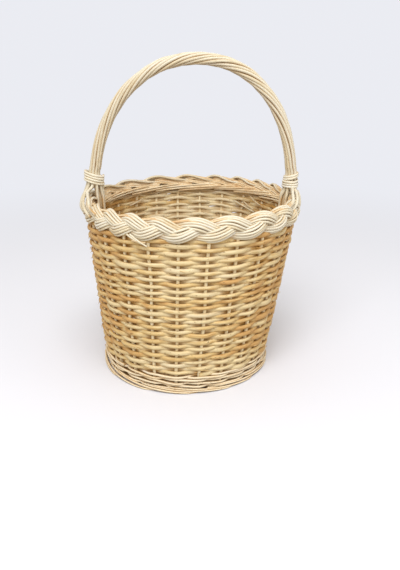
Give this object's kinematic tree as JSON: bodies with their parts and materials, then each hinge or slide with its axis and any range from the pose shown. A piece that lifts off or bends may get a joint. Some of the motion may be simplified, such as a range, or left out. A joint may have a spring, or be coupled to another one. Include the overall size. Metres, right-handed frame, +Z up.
{
  "type": "straw basket",
  "caption": "Round open basket of woven straw-coloured rods with a plaited border, a foot border and one arched handle of twisted rods.",
  "frame": {"origin": "on the floor, under the middle of the outline", "axes": "+Z up; -Y is the front of the picture; X runs from one foot of the handle to the other"},
  "size_m": [0.3316, 0.3188, 0.459],
  "materials": {
    "wall_rod": "peeled rods, pale straw to honey, satin",
    "stake_rod": "peeled rods, pale straw, satin",
    "wale_rod": "thin peeled rods, whitish straw, satin",
    "border_rod": "peeled rods, cream, smooth satin",
    "handle_rod": "peeled rods, cream to straw, smooth satin",
    "base_rod": "peeled rods, dull straw, matt"
  },
  "bodies": {
    "root": {"base_stick_pierced_1": "stake_rod", "base_stick_pierced_2": "stake_rod", "base_stick_pierced_3": "stake_rod", "base_stick_threaded_1": "stake_rod", "base_stick_threaded_2": "stake_rod", "base_stick_threaded_3": "stake_rod", "base_weave": "base_rod", "foot_border": "base_rod", "handle_core": "handle_rod", "handle_rod_1": "handle_rod", "handle_rod_2": "handle_rod", "handle_rod_3": "handle_rod", "handle_rod_4": "handle_rod", "handle_rod_5": "handle_rod", "handle_rod_6": "handle_rod", "lashing_left": "border_rod", "lashing_right": "border_rod", "plait_strand_1": "border_rod", "plait_strand_2": "border_rod", "plait_strand_3": "border_rod", "stake_01": "stake_rod", "stake_02": "stake_rod", "stake_03": "stake_rod", "stake_04": "stake_rod", "stake_05": "stake_rod", "stake_06": "stake_rod", "stake_07": "stake_rod", "stake_08": "stake_rod", "stake_09": "stake_rod", "stake_10": "stake_rod", "stake_11": "stake_rod", "stake_12": "stake_rod", "stake_13": "stake_rod", "stake_14": "stake_rod", "stake_15": "stake_rod", "stake_16": "stake_rod", "stake_17": "stake_rod", "stake_18": "stake_rod", "stake_19": "stake_rod", "stake_20": "stake_rod", "stake_21": "stake_rod", "stake_22": "stake_rod", "stake_23": "stake_rod", "stake_24": "stake_rod", "wale_rod_1": "wale_rod", "wale_rod_2": "wale_rod", "wale_rod_3": "wale_rod", "weaver_a_1": "wall_rod", "weaver_a_2": "wall_rod", "weaver_a_3": "wall_rod", "weaver_a_4": "wall_rod", "weaver_a_5": "wall_rod", "weaver_a_6": "wall_rod", "weaver_b_1": "wall_rod", "weaver_b_2": "wall_rod", "weaver_b_3": "wall_rod", "weaver_b_4": "wall_rod", "weaver_b_5": "wall_rod", "weaver_b_6": "wall_rod"}
  },
  "joints": []
}
